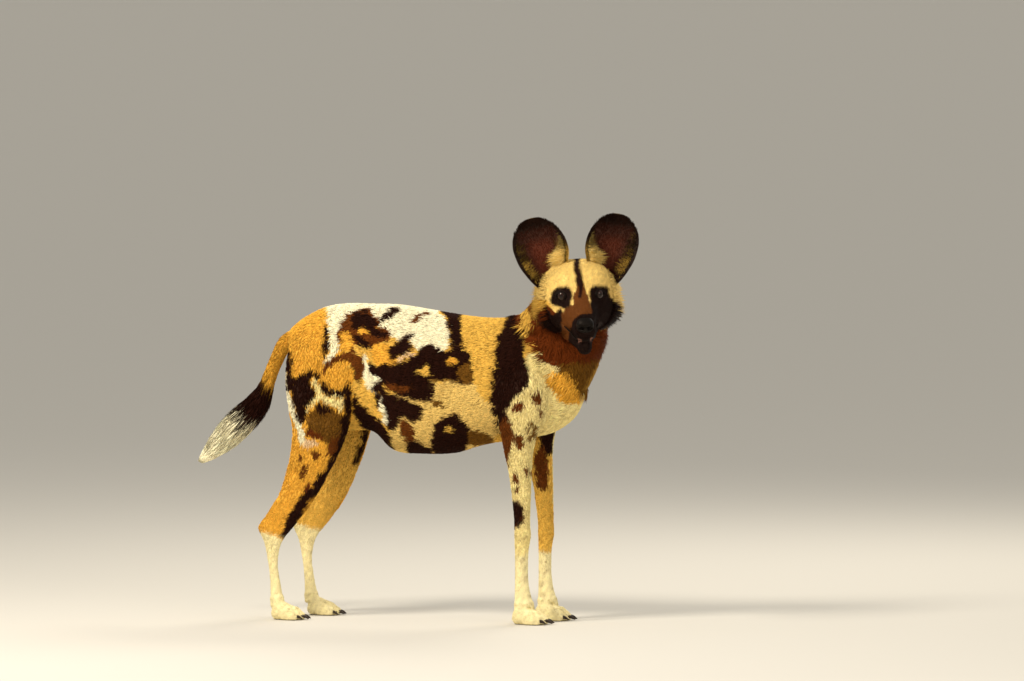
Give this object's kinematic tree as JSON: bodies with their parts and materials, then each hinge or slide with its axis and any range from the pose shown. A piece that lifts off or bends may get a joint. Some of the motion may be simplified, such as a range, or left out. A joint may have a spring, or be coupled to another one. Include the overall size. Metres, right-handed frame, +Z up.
{
  "type": "african wild dog",
  "caption": "Life-size standing African wild dog, head turned over one shoulder, with large round ears, a blotched coat and a bushy tail.",
  "frame": {"origin": "on the floor under the middle of the dog's bounding box", "axes": "+X ahead along the spine, +Y to the dog's left, +Z up"},
  "size_m": [0.999, 0.3306, 0.8858],
  "materials": {
    "coat": "short rough hair in black-brown, ochre and cream blotches",
    "tail_hair": "long soft white hair",
    "ear": "thin skin with very short dark hair",
    "nose": "moist, finely pebbled",
    "eye": "wet and clear",
    "claw": "horn, slightly polished"
  },
  "bodies": {
    "root": {"head": "coat", "nose": "nose", "eye_left": "eye", "eye_right": "eye", "ear_left": "ear", "ear_right": "ear", "hind_right_thigh": "coat", "hind_right_shank": "coat", "hind_right_metatarsus": "coat", "hind_right_paw": "coat", "hind_right_paw_claw_1": "claw", "hind_right_paw_claw_2": "claw", "hind_right_paw_claw_3": "claw", "hind_right_paw_claw_4": "claw", "hind_left_thigh": "coat", "hind_left_shank": "coat", "hind_left_metatarsus": "coat", "hind_left_paw": "coat", "hind_left_paw_claw_1": "claw", "hind_left_paw_claw_2": "claw", "hind_left_paw_claw_3": "claw", "hind_left_paw_claw_4": "claw", "fore_right_shoulder": "coat", "fore_right_forearm": "coat", "fore_right_pastern": "coat", "fore_right_paw": "coat", "fore_right_paw_claw_1": "claw", "fore_right_paw_claw_2": "claw", "fore_right_paw_claw_3": "claw", "fore_right_paw_claw_4": "claw", "fore_left_shoulder": "coat", "fore_left_forearm": "coat", "fore_left_pastern": "coat", "fore_left_paw": "coat", "fore_left_paw_claw_1": "claw", "fore_left_paw_claw_2": "claw", "fore_left_paw_claw_3": "claw", "fore_left_paw_claw_4": "claw", "tail_root": "coat", "tail_middle": "coat", "tail_brush": "tail_hair", "neck": "coat", "trunk": "coat"}
  },
  "joints": []
}
